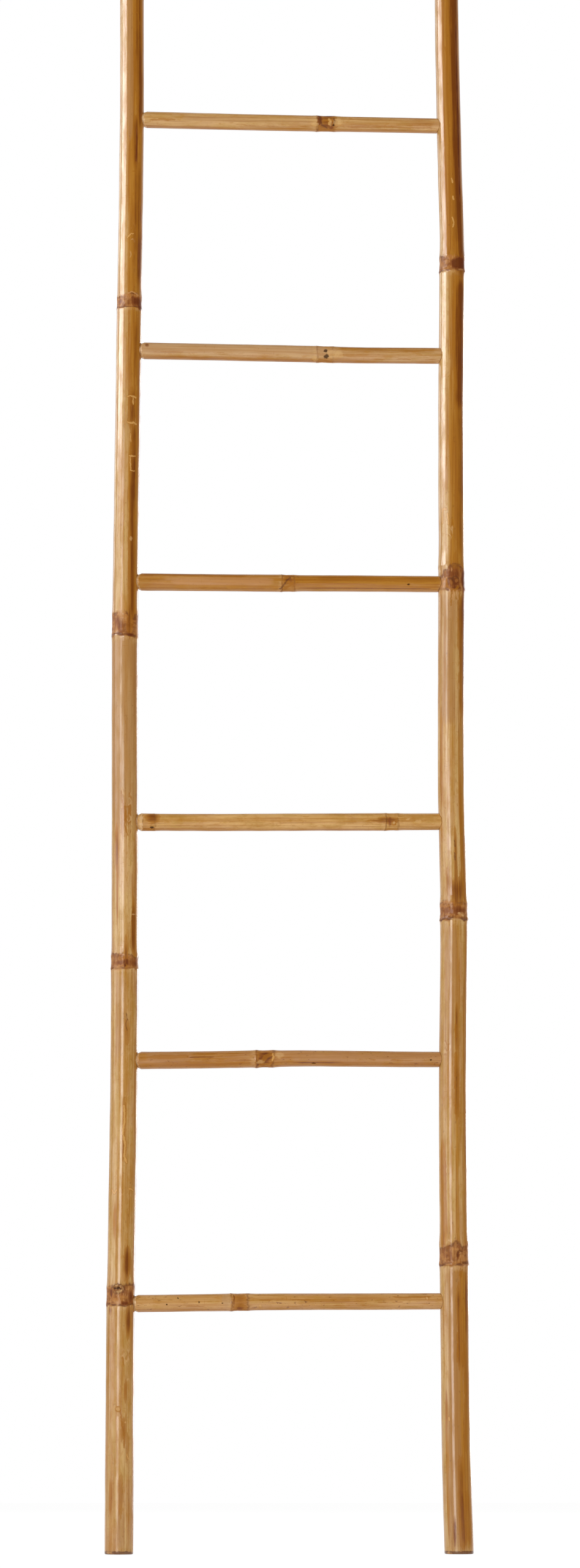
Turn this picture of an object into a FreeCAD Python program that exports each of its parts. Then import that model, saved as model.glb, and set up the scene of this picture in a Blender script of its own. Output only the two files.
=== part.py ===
import FreeCAD, Part
import math
import os

# A bamboo ladder: two natural poles, joined by six thinner canes that are let into them and nailed
# from behind. Sizes are in millimetres. X runs to the viewer's right, Y away from the viewer and
# Z up the ladder. The origin lies on the floor, midway between the two feet.

# The whole ladder, between the middles of its poles and canes
ladder_height = 2000.0
foot_spacing = 418.0
top_spacing = 404.0
rung_count = 6
lowest_rung_height = 307.0
top_overhang = 193.0

# The two rails
left_foot_diameter = 35.2
left_top_diameter = 30.0
right_foot_diameter = 36.0
right_top_diameter = 30.2
rail_wall = 4.5
rail_bow = 4.6
rail_edge = 1.8
left_node_length = 20.0
right_node_length = 24.0
left_node_swell = 0.8
right_node_swell = 1.3

# The rungs, and how they enter the rails
rung_diameter = 21.5
rung_wall = 5.0
rung_wander = 2.7
rung_node_length = 19.0
rung_node_swell = 0.9
tenon_diameter = 17.0
fit_clearance = 0.25
tenon_relief = 0.8
whittle_length = 4.5
partition_thickness = 4.0

# The nails that hold the rung ends
nail_diameter = 2.0
nail_length = 24.0
nail_head_diameter = 4.4
nail_head_thickness = 1.0
nail_seat_depth = 0.6
nail_clearance = 0.05

# Where the nodes sit, from foot to tip, and how much each is drawn out and swells beside the others
left_node_shares = (0.152, 0.360, 0.570, 0.780, 0.985)
left_length_shares = (1.35, 1.0, 1.2, 0.9, 0.7)
left_swell_shares = (1.0, 1.1, 0.9, 0.8, 0.7)
right_node_shares = (0.176, 0.3915, 0.601, 0.807)
right_length_shares = (1.2, 0.9, 1.3, 0.85)
right_swell_shares = (1.0, 1.05, 0.8, 0.95)

# How far each rail wanders off its straight line, sideways and in depth: (share of the height,
# share of the bow)
left_bow_shares = (
    (0, 0), (0.145, -0.11), (0.28, 0.30), (0.36, 0.24), (0.47, -0.09),
    (0.57, -0.41), (0.67, -0.24), (0.78, 0.02), (0.90, 0.30), (1, 0))
left_depth_shares = ((0, 0), (0.152, -0.20), (0.36, 0.35), (0.57, 0.10), (0.78, -0.40), (1, 0))
right_bow_shares = (
    (0, 0), (0.055, -0.50), (0.13, -0.65), (0.24, -0.78), (0.30, -0.65),
    (0.39, -0.05), (0.47, -0.48), (0.53, -0.37), (0.60, 0.02), (0.72, 0.33),
    (0.80, 0.90), (0.83, 1), (0.87, 0.65), (0.95, 0.13), (1, 0))
right_depth_shares = ((0, 0), (0.176, 0.30), (0.39, -0.25), (0.60, -0.45), (0.81, 0.20), (1, 0))

# Each rung from the lowest up: how far its ends stand off the even spacing (share of the wander),
# its thickness at both ends, its nodes (share of the way from left rail to right) and their swell
left_rise_shares = (-0.75, -0.55, -1.0, 0.80, -0.20, 0.40)
right_rise_shares = (0.75, 0.60, 0.15, 1.0, -0.70, -0.40)
left_thick_shares = (0.99, 1.02, 1.03, 1.02, 0.99, 0.98)
right_thick_shares = (0.94, 0.90, 1.0, 0.955, 0.955, 0.895)
rung_node_shares = ((0.328,), (0.398,), (0.060, 0.793), (0.475,), (0.580,), (0.586,))
rung_swell_shares = (0.90, 1.2, 0.60, 0.55, 0.70, 0.75)
# How a rung sags or arches between its ends: (share of the way, share of the wander)
rung_bow_shares = (
    ((0, 0), (0.3, 0.28), (0.5, 0.35), (0.8, 0.10), (1, 0)),
    ((0, 0), (0.25, 0.25), (0.42, 0.60), (0.58, 0.72), (0.85, 0.15), (1, 0)),
    ((0, 0), (0.25, -0.20), (0.6, -0.12), (1, 0)),
    ((0, 0), (0.45, -0.10), (0.7, 0.05), (1, 0)),
    ((0, 0), (0.35, -0.12), (0.58, -0.30), (0.72, -0.42), (0.9, -0.15), (1, 0)),
    ((0, 0), (0.4, -0.15), (0.6, -0.10), (1, 0)))

# A node from below to above, as a share of its length, and how far it stands out there: the sharp
# ring where the sheath sat, a waist, and the rounder ridge above it
node_profile_shares = (
    (-0.60, 0), (-0.12, 0.55), (0, 1), (0.10, 0.70), (0.50, 0.35), (0.90, 0.75), (1.20, 0.45), (1.90, 0))
partition_share = 0.55

# Drill holes run this much past the surfaces that they open
overrun = 2.0


def along(table, share):
    # A table of hand-chosen points, read between its points along straight lines
    for (low, low_value), (high, high_value) in zip(table, table[1:]):
        if share <= high:
            break
    reach = min(max((share - low) / (high - low), 0), 1)
    return low_value + (high_value - low_value) * reach


def row(table, number):
    # The tables start over where the ladder has more rungs than they have rows
    return table[number % len(table)]


def node(place, length, swell):
    return {"place": place, "length": length, "swell": swell}


def node_swelling(culm, place):
    # How far the nodes make the wall stand out at one place along the culm
    total = 0
    for one in culm["nodes"]:
        share = (place - one["place"]) / one["length"]
        if node_profile_shares[0][0] < share < node_profile_shares[-1][0]:
            total += one["swell"] * along(node_profile_shares, share)
    return total


def share_of(culm, place):
    return (place - culm["start"]) / (culm["end"] - culm["start"])


def culm_centre(culm, place):
    # The middle of the culm, sideways and in depth, at one place along it
    share = min(max(share_of(culm, place), 0), 1)
    side = culm["start_side"] + (culm["end_side"] - culm["start_side"]) * share
    depth = culm["start_depth"] + (culm["end_depth"] - culm["start_depth"]) * share
    side += culm["bow"] * along(culm["side_bows"], share)
    depth += culm["bow"] * along(culm["depth_bows"], share)
    return side, depth


def culm_radius(culm, place):
    share = min(max(share_of(culm, place), 0), 1)
    plain = culm["start_radius"] + (culm["end_radius"] - culm["start_radius"]) * share
    return plain + node_swelling(culm, place)


def spread(low, high, inner):
    # The places that lie between two ends, none so near another as to leave a sliver
    places = [low]
    for place in sorted(inner):
        if places[-1] + fit_clearance < place < high - fit_clearance:
            places.append(place)
    return places + [high]


def bends(culm):
    # Every place where the culm's line bends, and the ends of the short stretches that take a rung
    length = culm["end"] - culm["start"]
    places = [culm["start"] + length * share for share, _ in culm["side_bows"] + culm["depth_bows"]]
    for seat in culm["seats"]:
        places += [seat - rung_diameter, seat + rung_diameter]
    return places


def culm_places(culm, low, high):
    # Every place between two ends where the culm bends or swells
    inner = bends(culm)
    for one in culm["nodes"]:
        inner += [one["place"] + one["length"] * share for share, _ in node_profile_shares]
    return spread(low, high, inner)


def section(culm, place, radius):
    side, depth = culm_centre(culm, place)
    if culm["upright"]:
        centre = FreeCAD.Vector(side, depth, place)
        normal = FreeCAD.Vector(0, 0, 1)
    else:
        centre = FreeCAD.Vector(place, depth, side)
        normal = FreeCAD.Vector(1, 0, 0)
    return Part.Wire([Part.makeCircle(radius, centre, normal)])


def loft(culm, stations):
    return Part.makeLoft([section(culm, place, radius) for place, radius in stations], True, True)


def culm_skin(culm, low, high, extra):
    # The culm's outside between two places, with every radius larger by the extra
    return loft(culm, [(place, culm_radius(culm, place) + extra) for place in culm_places(culm, low, high)])


def culm_chamber(culm, low, high):
    # The hollow between two places; its wall doesn't follow the nodes outwards
    return loft(culm, [
        (place, culm_radius(culm, place) - node_swelling(culm, place) - culm["wall"])
        for place in spread(low, high, bends(culm))])


def chambers(culm, low, high, partitions):
    # The hollows that lie between the two open ends and the partitions
    edges = [low - overrun]
    for place in partitions:
        edges += [place - partition_thickness / 2, place + partition_thickness / 2]
    edges.append(high + overrun)
    return [
        culm_chamber(culm, bottom, top)
        for bottom, top in zip(edges[::2], edges[1::2]) if top - bottom > partition_thickness]


def rail_nodes(shares, lengths, swells, node_length, node_swell):
    return [
        node(ladder_height * share, node_length * long, node_swell * proud)
        for share, long, proud in zip(shares, lengths, swells)]


def rail(side, foot_diameter, top_diameter, nodes, side_bows, depth_bows, seats):
    # Side is -1 for the left rail and 1 for the right one; the seats are its rungs' heights
    return {
        "upright": True,
        "start": 0,
        "end": ladder_height,
        "start_side": side * foot_spacing / 2,
        "end_side": side * top_spacing / 2,
        "start_depth": 0,
        "end_depth": 0,
        "start_radius": foot_diameter / 2,
        "end_radius": top_diameter / 2,
        "bow": rail_bow,
        "side_bows": side_bows,
        "depth_bows": depth_bows,
        "nodes": nodes,
        "seats": seats,
        "wall": rail_wall}


def joint(culm, side, height):
    # Where one rung end sits in its rail: the rail's middle there, its size and how deep the tenon goes
    x, y = culm_centre(culm, height)
    inner_radius = culm_radius(culm, height) - node_swelling(culm, height) - rail_wall
    spare = max(inner_radius ** 2 - (tenon_diameter / 2 + fit_clearance) ** 2, 0)
    depth = max(math.sqrt(spare) - tenon_relief, nail_diameter)
    return {
        "side": side,
        "x": x,
        "y": y,
        "z": height,
        "radius": culm_radius(culm, height),
        "tip": x + side * depth}


def rung(number, left, right):
    # The cane runs from its thick left end to its thin right end
    span = right["x"] - left["x"]
    swell = rung_node_swell * row(rung_swell_shares, number)
    return {
        "upright": False,
        "start": left["x"],
        "end": right["x"],
        "start_side": left["z"],
        "end_side": right["z"],
        "start_depth": left["y"],
        "end_depth": right["y"],
        "start_radius": rung_diameter * row(left_thick_shares, number) / 2,
        "end_radius": rung_diameter * row(right_thick_shares, number) / 2,
        "bow": rung_wander,
        "side_bows": row(rung_bow_shares, number),
        "depth_bows": ((0, 0), (1, 0)),
        "nodes": [
            node(left["x"] + span * share, rung_node_length, swell)
            for share in row(rung_node_shares, number)],
        "seats": [],
        "wall": rung_wall}


def rod(start, end, radius):
    # A straight round bar between two points
    direction = end - start
    return Part.makeCylinder(radius, direction.Length, start, direction)


def mortise(end):
    # The hole for one tenon: in through the inner wall, and just deeper than the tenon
    mouth = end["x"] - end["side"] * (end["radius"] + overrun)
    bottom = end["tip"] + end["side"] * fit_clearance
    return rod(
        FreeCAD.Vector(mouth, end["y"], end["z"]),
        FreeCAD.Vector(bottom, end["y"], end["z"]),
        tenon_diameter / 2 + fit_clearance)


def nail_seat(end):
    # How far back the flat under a nail's head lies, in the rail's rear
    return end["y"] + end["radius"] - nail_seat_depth


def nail(end):
    seat = FreeCAD.Vector(end["x"], nail_seat(end), end["z"])
    shank = rod(seat, seat - FreeCAD.Vector(0, nail_length, 0), nail_diameter / 2)
    head = rod(seat, seat + FreeCAD.Vector(0, nail_head_thickness, 0), nail_head_diameter / 2)
    return shank.fuse(head).removeSplitter()


def nail_hole(end):
    # The pilot hole and the flat for the head, as one cutting tool
    seat = FreeCAD.Vector(end["x"], nail_seat(end), end["z"])
    shank = rod(
        seat, seat - FreeCAD.Vector(0, nail_length + nail_clearance, 0), nail_diameter / 2 + nail_clearance)
    head = rod(
        seat, seat + FreeCAD.Vector(0, end["radius"], 0), nail_head_diameter / 2 + nail_clearance)
    return shank.fuse(head)


def make_rail(culm, ends):
    # The wall with its sawn ends eased, hollowed between the partitions, then drilled
    places = culm_places(culm, rail_edge, ladder_height - rail_edge)
    stations = [(place, culm_radius(culm, place)) for place in places]
    stations.insert(0, (0, culm_radius(culm, 0) - rail_edge))
    stations.append((ladder_height, culm_radius(culm, ladder_height) - rail_edge))
    partitions = [one["place"] + one["length"] * partition_share for one in culm["nodes"]]
    solid = loft(culm, stations).cut(chambers(culm, 0, ladder_height, partitions))
    return solid.cut([mortise(end) for end in ends] + [nail_hole(end) for end in ends])


def whittled_body(culm, left):
    # The cane between the rails' middles, with its left end pared down towards its tenon
    edge = left["x"] + left["radius"]
    places = culm_places(culm, edge + whittle_length, culm["end"])
    stations = [(place, culm_radius(culm, place)) for place in places]
    stations.insert(0, (culm["start"], tenon_diameter / 2))
    stations.insert(1, (edge - whittle_length, tenon_diameter / 2))
    return loft(culm, stations)


def tenon(end):
    inner = end["x"] - end["side"] * (end["radius"] + whittle_length)
    return rod(
        FreeCAD.Vector(end["tip"], end["y"], end["z"]),
        FreeCAD.Vector(inner, end["y"], end["z"]),
        tenon_diameter / 2)


def make_rung(culm, left, right, left_rail, right_rail):
    # The cane hugs both rails, and a tenon runs on into each of them. Only the node that is
    # farthest from the left end keeps its partition: one close to that end is bored through.
    skins = [
        culm_skin(one, end["z"] - rung_diameter, end["z"] + rung_diameter, fit_clearance)
        for one, end in ((left_rail, left), (right_rail, right))]
    body = whittled_body(culm, left).cut(skins).fuse([tenon(left), tenon(right)])
    last = culm["nodes"][-1]
    partition = last["place"] + last["length"] * partition_share
    hollows = chambers(culm, left["tip"], right["tip"], [partition])
    return body.cut(hollows + [nail_hole(left), nail_hole(right)])


def save(name, shape):
    solids = shape.Solids
    shape = solids[0] if len(solids) == 1 else Part.makeCompound(solids)
    shape.exportStep("parts/" + name + ".step")
    print(name, "solids", len(solids), "volume", round(shape.Volume), "valid", shape.isValid())


os.makedirs("parts", exist_ok=True)

# The rungs are evenly spaced between the lowest one and the poles' free tops
rung_pitch = (ladder_height - lowest_rung_height - top_overhang) / (rung_count - 1)
heights = [lowest_rung_height + rung_pitch * number for number in range(rung_count)]
left_heights = [
    height + rung_wander * row(left_rise_shares, number) for number, height in enumerate(heights)]
right_heights = [
    height + rung_wander * row(right_rise_shares, number) for number, height in enumerate(heights)]

left_rail = rail(
    -1, left_foot_diameter, left_top_diameter,
    rail_nodes(left_node_shares, left_length_shares, left_swell_shares, left_node_length, left_node_swell),
    left_bow_shares, left_depth_shares, left_heights)
right_rail = rail(
    1, right_foot_diameter, right_top_diameter,
    rail_nodes(
        right_node_shares, right_length_shares, right_swell_shares, right_node_length, right_node_swell),
    right_bow_shares, right_depth_shares, right_heights)
left_ends = [joint(left_rail, -1, height) for height in left_heights]
right_ends = [joint(right_rail, 1, height) for height in right_heights]

save("left_rail", make_rail(left_rail, left_ends))
save("right_rail", make_rail(right_rail, right_ends))
for number, (left, right) in enumerate(zip(left_ends, right_ends)):
    cane = rung(number, left, right)
    save("rung_" + str(number + 1), make_rung(cane, left, right, left_rail, right_rail))
save("left_rail_nails", Part.makeCompound([nail(end) for end in left_ends]))
save("right_rail_nails", Part.makeCompound([nail(end) for end in right_ends]))
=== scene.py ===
import math
import bpy
import numpy as np
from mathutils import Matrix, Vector


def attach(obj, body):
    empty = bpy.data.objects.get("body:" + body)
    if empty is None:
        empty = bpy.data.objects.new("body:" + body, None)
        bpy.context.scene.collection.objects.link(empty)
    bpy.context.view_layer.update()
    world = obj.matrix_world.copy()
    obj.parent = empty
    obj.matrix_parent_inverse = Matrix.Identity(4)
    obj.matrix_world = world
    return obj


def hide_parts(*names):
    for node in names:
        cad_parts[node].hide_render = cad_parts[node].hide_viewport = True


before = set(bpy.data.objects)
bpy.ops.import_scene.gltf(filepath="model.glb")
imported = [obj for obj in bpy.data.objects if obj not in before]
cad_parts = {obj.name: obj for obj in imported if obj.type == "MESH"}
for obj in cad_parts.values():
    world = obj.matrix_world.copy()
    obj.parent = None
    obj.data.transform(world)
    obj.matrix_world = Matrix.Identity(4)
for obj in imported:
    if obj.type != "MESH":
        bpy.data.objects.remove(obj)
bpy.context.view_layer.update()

# Everything is in metres, but the painted patches, strokes and spots are given in millimetres. X runs
# to the viewer's right, Y away from the viewer, Z up the ladder. Angles round a pole start at its
# front and grow to the right; round a rung they grow upwards.


def tone(red, green, blue):  # a colour as it looks on a screen, 0 to 255, for a shader
    steps = [value / 255 for value in (red, green, blue)]
    return tuple(s / 12.92 if s <= 0.04045 else ((s + 0.055) / 1.055) ** 2.4 for s in steps) + (1.0,)


def metres(*lengths):
    return [length / 1000 for length in lengths]


def readCurve(points, place):  # a smooth line through given points
    places, values = zip(*points)
    if place <= places[0]:
        return values[0]
    if place >= places[-1]:
        return values[-1]
    i = max(n for n in range(len(points) - 1) if places[n] <= place)
    step = places[i + 1] - places[i]
    t = (place - places[i]) / step

    def slope(n):
        low, high = max(n - 1, 0), min(n + 1, len(points) - 1)
        return (values[high] - values[low]) / (places[high] - places[low])
    return (values[i] * (2 * t ** 3 - 3 * t ** 2 + 1) + slope(i) * step * (t ** 3 - 2 * t ** 2 + t)
            + values[i + 1] * (3 * t ** 2 - 2 * t ** 3) + slope(i + 1) * step * (t ** 3 - t ** 2))


# the camera

lens = {
    "place": (-0.3285, -6.0, 0.1152),
    "lookLeft": math.radians(-3.1419),
    "lookUp": math.radians(7.945),
    "focalPixels": 7900.6,
    "imageHeight": 2560,
    "filmHeight": 36.0,
    "reach": 60,
}


def placeCamera():
    data = bpy.data.cameras.new("camera")
    data.sensor_width = lens["filmHeight"]
    data.lens = lens["focalPixels"] / lens["imageHeight"] * lens["filmHeight"]
    data.clip_end = lens["reach"]
    camera = bpy.data.objects.new("camera", data)
    bpy.context.scene.collection.objects.link(camera)
    camera.location = lens["place"]
    camera.rotation_euler = (math.pi / 2 + lens["lookUp"], 0, lens["lookLeft"])
    bpy.context.scene.camera = camera


placeCamera()
print("camera placed")


# small helpers for finishes: each adds its nodes to the tree on the board

board = {}


def startMaterial(name):
    material = bpy.data.materials.new(name)
    material.use_nodes = True
    board["tree"] = material.node_tree
    return material, material.node_tree.nodes["Principled BSDF"]


def link(value, socket):
    board["tree"].links.new(value, socket)


def add(kind, inputs=None, **settings):
    made = board["tree"].nodes.new("ShaderNode" + kind)
    for key, value in settings.items():
        setattr(made, key, value)
    for key, value in (inputs or {}).items():
        if isinstance(value, bpy.types.NodeSocket):
            link(value, made.inputs[key])
        else:
            made.inputs[key].default_value = value
    return made


def sums(operation, *values):
    return add("Math", dict(enumerate(values)), operation=operation).outputs[0]


def times(first, second):
    return sums("MULTIPLY", first, second)


def timesPlus(first, second, third):
    return sums("MULTIPLY_ADD", first, second, third)


def vectors(operation, inputs, result="Vector"):
    return add("VectorMath", inputs, operation=operation).outputs[result]


def between(value, low, high):  # 0 at low, 1 at high, softly
    return add("MapRange", {0: value, 1: low, 2: high}, interpolation_type="SMOOTHSTEP").outputs[0]


def mixed(share, first, second):
    return add("Mix", {0: share, 6: first, 7: second}, data_type="RGBA").outputs[2]


def stretched(vector, scale, shift):
    return add("Mapping", {"Vector": vector, "Scale": scale, "Location": shift}).outputs[0]


def grain(vector, size, stretch, shift, detail, rough):
    # a cloudy pattern of this size across the fibres, drawn out along them
    place = stretched(vector, (1, 1, 1 / stretch), (shift, shift * 0.7, shift * 1.3))
    return add("TexNoise", {"Vector": place, "Scale": 1 / size, "Detail": detail,
                            "Roughness": rough}).outputs[0]


def read(name, vector=False):
    found = add("Attribute", attribute_name=name, attribute_type="GEOMETRY")
    return found.outputs["Vector"] if vector else found.outputs["Fac"]


# the finish of the canes: tones first, then how strongly each thing shows
caneFinish = {
    "pale": (210, 169, 107),
    "warm": (187, 138, 70),
    "olive": (177, 135, 58),
    "pink": (198, 148, 98),
    # the tan tone, which on the rungs is also the painted shade along their tops and bottoms
    "sun": (181, 121, 34),
    "flame": (167, 103, 18),
    "deepFlame": (122, 60, 0),
    "burn": (104, 46, 10),
    "ash": (176, 127, 73),
    "band": (172, 110, 50),
    "bandDark": (138, 76, 28),
    "bandPale": (200, 145, 86),
    "line": (106, 60, 28),
    "ring": (218, 176, 118),
    "scratch": (218, 166, 92),
    "cut": (224, 184, 136),
    "pit": (50, 22, 5),
    "streaks": 0.43,
    "hairs": 0.20,
    "flecks": 0.25,
    "ticks": 0.45,
    "bandShare": 0.88,
    "lineShare": 0.68,
    "relief": 0.30,
    "reliefDepth": 0.0007,
    "gloss": 0.44,
    "specular": 0.10,
    "varnish": 0.95,
    "varnishBlur": 0.13,
}

# the patterns of the skin: size across the fibres, stretch along them, shift, detail, roughness
grains = {
    "broad": (0.030, 6, 0, 3, 0.55),
    "blotch": (0.0085, 3.5, 1, 4, 0.55),
    "cloud": (0.018, 4, 2, 3, 0.55),
    "streak": (0.0022, 60, 3, 4, 0.55),
    "hair": (0.0008, 80, 4, 2, 0.55),
    "fray": (0.0050, 11, 5, 5, 0.62),
    "lick": (0.0100, 3.6, 6, 5, 0.62),
    "wind": (0.0085, 2.2, 7, 1, 0.55),
    "gaps": (0.0095, 1.6, 8, 2, 0.55),
    "rare": (0.022, 2, 9, 2, 0.55),
    "speck": (0.0026, 2.2, 10, 3, 0.6),
    "wobble": (0.0100, 1, 11, 1.5, 0.55),
    "tint": (0.0120, 0.45, 12, 3, 0.55),
    "small": (0.0030, 2.4, 13, 3, 0.55),
    "fine": (0.0018, 1.2, 14, 3, 0.6),
    "stripe": (0.0062, 30, 15, 4, 0.6),
    "nibble": (0.0026, 4.5, 16, 3, 0.6),
    "mottle": (0.0042, 2.6, 17, 4, 0.65),
}

strokeInks = {"dark": "line", "rust": "flame", "foldsAndRidgeHighlight": "bandPale", "pale": "scratch"}

# what is laid for a spot, from 1 at its rim to 0 in its middle: where it starts and where it is full,
# share, tone, the patterns that fray it and those that break it up
spotLays = {
    "eye": ((1.55, 1.10, 0.75, "line", (), ("mottle", 0.38, 0.52)),
            (1.15, 0.95, 0.60, "ring", (), ("small", 0.38, 0.54)),
            (0.82, 0.60, 0.60, "bandDark", (), ())),
    "knob": ((1.00, 0.40, 0.60, "band", (("small", 1.6),), ()),),
    "scorch": ((1.10, 0.70, 0.85, "burn", (("mottle", 1.6),), ()),
               (0.55, 0.25, 0.45, "pit", (("small", 3.0),), ())),
    "bud": ((1.40, 0.95, 0.55, "flame", (), ()), (0.95, 0.50, 0.55, "ring", (), ())),
    "leaf": ((1.15, 0.60, 0.45, "ring", (("small", 1.4),), ()),),
    "pit": ((1.15, 0.60, 0.86, "pit", (), ()),),
}


def caneMaterial(cane):
    look = {**caneFinish, **cane.get("look", {})}
    colour = {key: tone(*value) for key, value in look.items() if isinstance(value, tuple)}
    streaks, hairs = look["streaks"], look["hairs"]
    material, shader = startMaterial(cane["name"] + "Skin")
    fibre = read("fibre", vector=True)
    seed = cane["seed"]
    made = {}

    def pattern(name):
        if name not in made:
            size, stretch, shift, detail, rough = grains[name]
            made[name] = grain(fibre, size, stretch, seed + shift, detail, rough)
        return made[name]

    def where(name, low, high):
        return between(pattern(name), low, high)

    def shifted(value, *moves):  # moves a painted value up and down by patterns, each with its reach
        for name, reach in moves:
            value = timesPlus(pattern(name), reach, sums("ADD", value, -0.5 * reach))
        return value

    def laid(under, mask, share, over):  # one tone over another, through a mask
        return mixed(times(mask, share), under, colour[over] if isinstance(over, str) else over)

    def lay(mask, share, over):
        nonlocal base
        base = laid(base, mask, share, over)

    # the ground tone: clouds, blotches, long streaks and single fibres
    base = mixed(where("broad", 0.38, 0.62), colour["warm"], colour["pale"])
    for name, start, full, share, over in (
            ("blotch", 0.50, 0.62, 0.42, "olive"), ("cloud", 0.50, 0.62, 0.55, "pink"),
            ("stripe", 0.51, 0.60, streaks, "sun"), ("stripe", 0.47, 0.39, streaks, "pale"),
            ("streak", 0.52, 0.62, streaks * 0.5, "flame"), ("streak", 0.46, 0.37, streaks * 0.6, "pale"),
            ("hair", 0.52, 0.72, hairs, "flame"), ("mottle", 0.53, 0.64, 0.38, "sun"),
            ("mottle", 0.46, 0.36, 0.28, "pale")):
        lay(where(name, start, full), share, over)

    # browned by the sun in broad soft fields, greyed below the nodes; on the rungs the same fields also lay
    # painted shade along the top and bottom
    sun = shifted(read("tanAndEdgeShade"), ("cloud", 1.2), ("stripe", 1.8))
    lay(between(sun, -0.35, 0.75), 0.96, mixed(where("streak", 0.42, 0.60), colour["sun"], colour["flame"]))
    ashes = shifted(read("ashes"), ("stripe", 2.0), ("streak", 2.2))
    lay(between(ashes, -0.40, 0.80), 0.70, "ash")
    lay(where("streak", 0.50, 0.60), hairs, "flame")
    lay(where("hair", 0.54, 0.70), hairs, "deepFlame")

    # short winding trails with a pale raised side and a dark side that is partly brown stain and partly
    # painted shadow, ticks across the fibres and flecks
    trails = times(between(read("trails"), -0.1, 0.4), where("gaps", 0.46, 0.54))
    sides = []
    for middle, rim, full, share, over in (
            (0.50, 0.085, 0.020, 0.60, "flame"), (0.56, 0.050, 0.015, 0.50, "ring")):
        away = sums("ABSOLUTE", sums("ADD", pattern("wind"), -middle))
        sides.append(times(between(away, rim, full), trails))
        lay(sides[-1], share, over)
    trailStainAndShadow, paleTrail = sides
    tick = add("TexNoise", {"Vector": stretched(fibre, (1, 1, 6), (seed, 0, 2)), "Scale": 110.0,
                            "Detail": 2.0}).outputs[0]
    lay(times(between(tick, 0.64, 0.72), where("rare", 0.52, 0.60)), look["ticks"], "flame")
    lay(times(where("speck", 0.62, 0.69), where("rare", 0.62, 0.50)), look["flecks"], "burn")

    # the node: its stained band, the dark lip and ridge, and a painted highlight on the pale rim below the
    # lip
    share = shifted(read("nodeShare"), ("wobble", 0.36))
    near = between(read("nodeNear"), 0.25, 0.6)
    top = shifted(read("nodeTop"), ("wobble", 0.36), ("fray", 0.5))
    bandMask = times(times(between(share, -0.12, -0.02), between(top, 1.22, 0.98)), near)
    bandTone = mixed(where("tint", 0.42, 0.58), colour["bandDark"], colour["band"])
    bandTone = laid(bandTone, where("streak", 0.48, 0.36), 0.28, "bandPale")
    bandTone = laid(bandTone, where("small", 0.52, 0.66), 0.45, "bandPale")
    bandTone = laid(bandTone, where("small", 0.44, 0.34), 0.35, "line")
    broken = where("tint", 0.58, 0.46)
    lip = times(between(share, -0.10, -0.03), between(share, 0.10, 0.02))
    ridge = times(between(top, 0.90, 1.02), between(top, 1.16, 1.05))
    lines = times(near, sums("MAXIMUM", times(lip, timesPlus(broken, 0.7, 0.3)),
                             times(ridge, times(broken, 0.7))))
    # painted highlight: the pale rim just below the lip, where the edge catches the light
    lipRimHighlight = times(between(share, -0.45, -0.20), between(share, -0.08, -0.15))
    lay(times(times(lipRimHighlight, near), where("small", 0.40, 0.56)), 0.28, "ring")
    lay(bandMask, look["bandShare"], bandTone)

    # flame stains with crisp ragged edges, the strongest with a darker heart
    painted = read("flames")
    flames = shifted(painted, ("lick", 3.2), ("fray", 2.2), ("stripe", 1.6), ("nibble", 1.4))
    heart = between(shifted(painted, ("streak", 2.4), ("stripe", 2.0), ("lick", 1.4)), 0.45, 1.55)
    flameTone = mixed(heart, colour["flame"], colour["deepFlame"])
    flameShare = timesPlus(between(painted, 0.2, 1.3), 0.40, 0.56)
    lay(between(flames, -0.08, 0.18), flameShare, flameTone)
    lay(lines, look["lineShare"], "line")

    # scorched patches, and pale ones that are partly rubbed and partly painted highlight on the lit side of
    # the nodes, the nodes' own among them
    burns = shifted(read("burns"), ("fray", 1.4), ("nibble", 1.0))
    deep = between(shifted(burns, ("blotch", 1.2)), 0.1, 0.8)
    lay(between(burns, -0.20, 0.35), 0.88, mixed(deep, colour["bandDark"], colour["burn"]))
    rubsAndHighlights = shifted(read("rubsAndHighlights"), ("fray", 1.2), ("nibble", 1.0))
    lay(between(rubsAndHighlights, -0.30, 0.70), 0.60, "bandPale")

    # marks drawn one by one, and the buds, eyes and pits, all a little crooked
    crook = add("TexNoise", {"Vector": fibre, "Scale": 260.0, "Detail": 2.0}).outputs["Color"]
    crook = vectors("SUBTRACT", {0: crook, 1: (0.5, 0.5, 0.5)})
    crook = vectors("MULTIPLY_ADD", {0: crook, 1: (0.003, 0.003, 0.003), 2: fibre})
    for kind, ink in strokeInks.items():
        strokes = cane.get("strokes", {}).get(kind)
        if not strokes:
            continue
        away = shifted(strokeAway(crook, cane, strokes), ("nibble", 1.4))
        if kind == "pale":  # with a browned halo: painted shadow round the raised pale line
            lay(between(away, 3.0, 1.8), 0.50, "flame")
            away = times(away, 0.70)
        lay(between(away, 1.30, 0.65), 0.70, ink)
    bump = times(pattern("hair"), 0.12)
    bare = times(bandMask, 0.70)
    for spot in cane["spots"]:
        away = shifted(spotAway(crook, cane, spot), ("fine", 0.8))
        for start, full, share, over, frays, breaks in spotLays[spot[4]]:
            mask = between(shifted(away, *frays), start, full)
            lay(times(mask, where(*breaks)) if breaks else mask, share, over)
        worked = between(away, 1.4, 1.0)
        bare = sums("MAXIMUM", bare, worked)
        bump = timesPlus(worked, 0.25, bump)

    # sawn and whittled ends
    lay(between(shifted(read("rim"), ("small", 0.9)), 0.42, 0.58), 0.85, mixed(
        where("tint", 0.52, 0.62), colour["line"], colour["ash"]))
    lay(between(shifted(read("whittled"), ("small", 0.6)), 0.35, 0.65), 0.8, mixed(
        where("streak", 0.4, 0.65), colour["cut"], colour["pale"]))

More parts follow.
